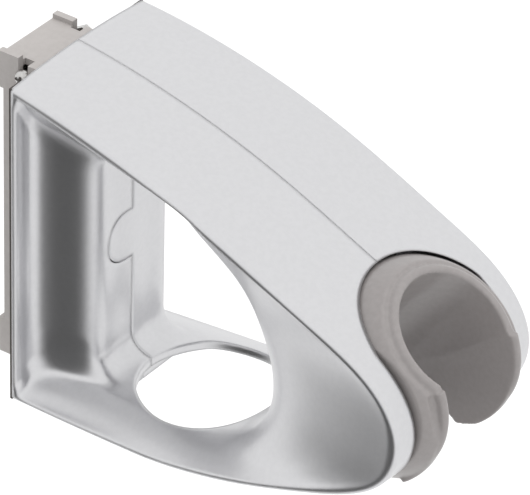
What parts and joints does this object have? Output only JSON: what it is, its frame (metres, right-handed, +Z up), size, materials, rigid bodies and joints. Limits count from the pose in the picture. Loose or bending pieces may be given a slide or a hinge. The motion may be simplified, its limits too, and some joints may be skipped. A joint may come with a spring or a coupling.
{
  "type": "hand shower holder",
  "caption": "Wall holder for a hand shower: an open triangular loop body in two halves, a tilting conical cradle at its nose and a channel bracket at the wall.",
  "frame": {"origin": "centre of the wall bracket's wall face, on the middle plane of the holder", "axes": "+X to the right seen from the front, -Y out of the wall, +Z up"},
  "size_m": [0.0462, 0.1089, 0.0731],
  "materials": {
    "silver_shell": "satin silver paint on moulded plastic",
    "cradle_grey": "warm grey, half gloss",
    "bracket_grey": "warm grey, matt",
    "steel": "bright screw steel",
    "seal": "matt dark",
    "washer": "pale slippery plastic"
  },
  "bodies": {
    "holder": {"wall_bracket": "bracket_grey", "left_shell": "silver_shell", "right_shell": "silver_shell", "back_seal": "seal", "cross_bolt": "steel", "cross_nut": "steel", "set_screw": "steel", "left_pivot_pin": "steel", "right_pivot_pin": "steel", "left_friction_washer": "washer", "right_friction_washer": "washer"},
    "cradle": {"cradle": "cradle_grey"}
  },
  "joints": [
    {"name": "cradle_tilt", "type": "hinge", "parent": "holder", "child": "cradle", "pos_m": [0, -0.0914, -0.0054], "axis": [1, 0, 0], "range_deg": [-18, 18]}
  ]
}
